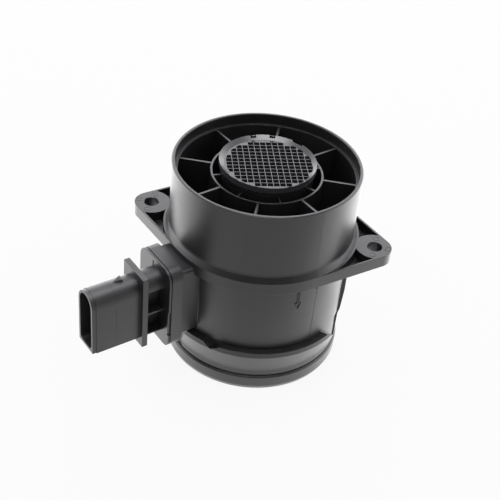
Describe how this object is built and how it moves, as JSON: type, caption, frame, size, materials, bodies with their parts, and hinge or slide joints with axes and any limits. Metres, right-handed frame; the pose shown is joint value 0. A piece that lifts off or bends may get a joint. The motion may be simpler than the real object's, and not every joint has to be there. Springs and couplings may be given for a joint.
{
  "type": "mass airflow sensor",
  "caption": "Round black plastic air duct with a finned inlet and central flow grid, two-eared mounting flange and a plug-in sensor with a side electrical connector.",
  "frame": {"origin": "centre of the outlet opening, on the air axis", "axes": "+Z along the air axis toward the inlet, -Y toward the electrical connector, +X to the right seen from the connector side"},
  "size_m": [0.0984, 0.1431, 0.1057],
  "materials": {
    "housing_plastic": "satin moulded glass-filled plastic",
    "grid_plastic": "satin moulded plastic",
    "module_plastic": "satin moulded glass-filled plastic",
    "seal_rubber": "smooth moulded rubber",
    "lid_plastic": "satin moulded plastic",
    "base_metal": "rolled sheet",
    "board_ceramic": "fired thick film board",
    "chip_case": "moulded resin",
    "capacitor_ceramic": "fired ceramic",
    "carrier_ceramic": "fired ceramic",
    "sensing_silicon": "polished silicon",
    "potting_gel": "soft clear gel",
    "bulb_glass": "glass bead",
    "lead_metal": "drawn wire",
    "terminal_metal": "tinned brass"
  },
  "bodies": {
    "root": {"housing": "housing_plastic", "flow_straightener": "grid_plastic", "sensor_module": "module_plastic", "seal_ring": "seal_rubber", "electronics_lid": "lid_plastic", "channel_lid": "lid_plastic", "base_plate": "base_metal", "circuit_board": "board_ceramic", "processor_chip": "chip_case", "capacitors": "capacitor_ceramic", "sensing_carrier": "carrier_ceramic", "sensing_chip": "sensing_silicon", "gel_fill": "potting_gel", "temperature_bulb": "bulb_glass", "bulb_leads": "lead_metal", "terminal_1": "terminal_metal", "terminal_2": "terminal_metal", "terminal_3": "terminal_metal", "terminal_4": "terminal_metal", "terminal_5": "terminal_metal"}
  },
  "joints": []
}
